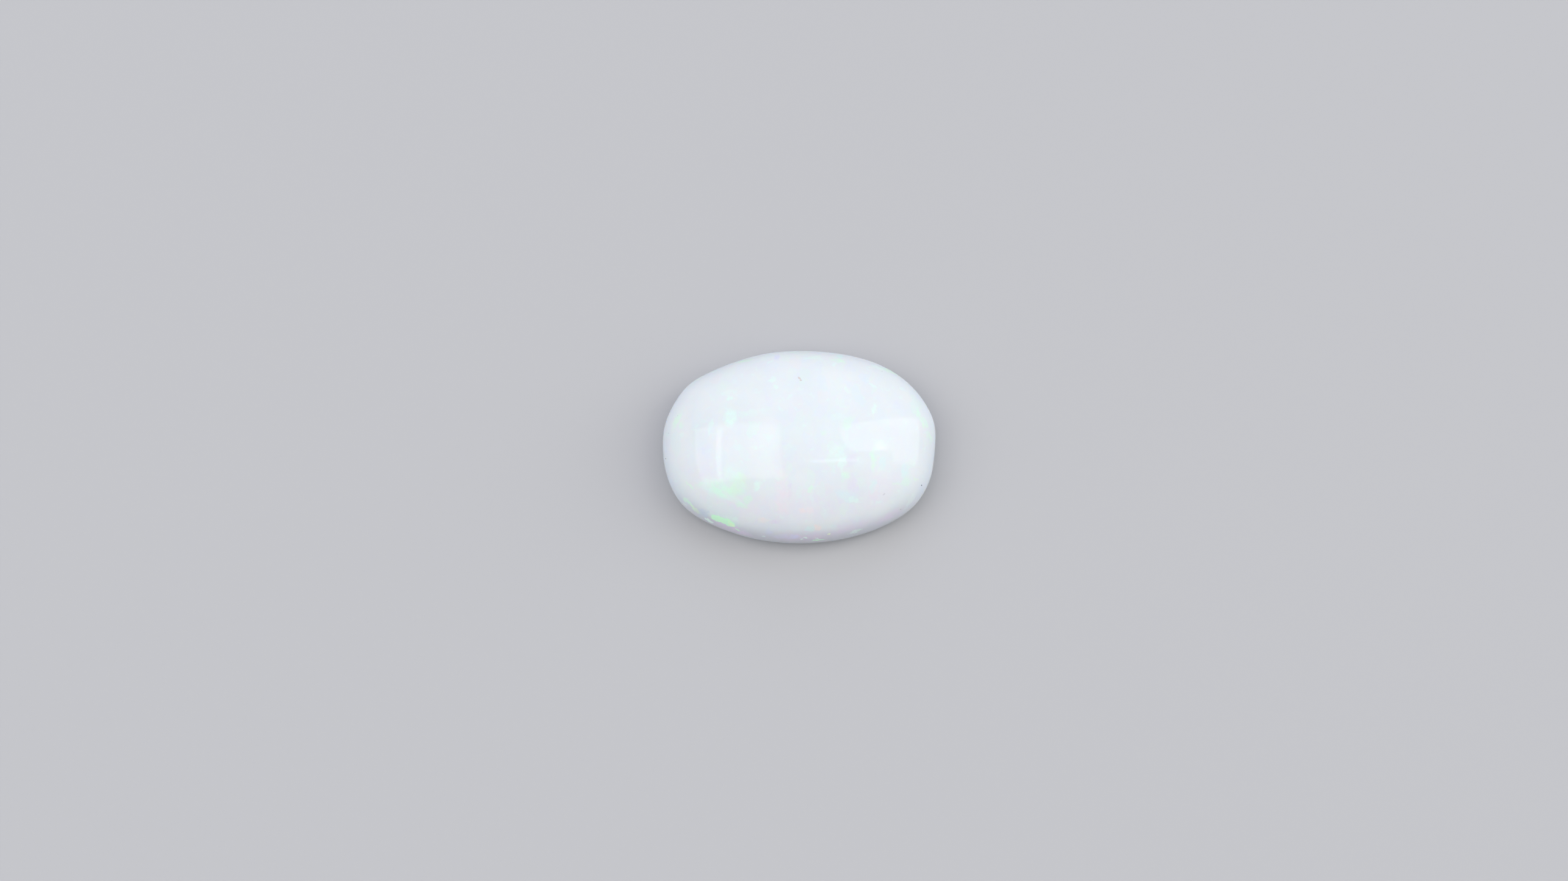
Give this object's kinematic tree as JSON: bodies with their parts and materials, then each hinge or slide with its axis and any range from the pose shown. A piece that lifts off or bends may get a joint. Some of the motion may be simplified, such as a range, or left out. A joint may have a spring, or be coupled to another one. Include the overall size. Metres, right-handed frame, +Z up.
{
  "type": "white opal cabochon",
  "caption": "Polished oval cabochon of milky white opal with play of colour, with a high dome, a bevelled girdle and a flat lapped back.",
  "frame": {"origin": "under the middle of the stone's bounding box, in the plane of the flat back", "axes": "+X along the stone's length, +Y across its width, away from the picture's camera, +Z up out of the dome"},
  "size_m": [0.018, 0.013, 0.0055],
  "materials": {
    "white_opal": "polished, milky and slightly translucent, with pastel green, mauve, pink and blue play of colour"
  },
  "bodies": {
    "root": {"opal_cabochon": "white_opal"}
  },
  "joints": []
}
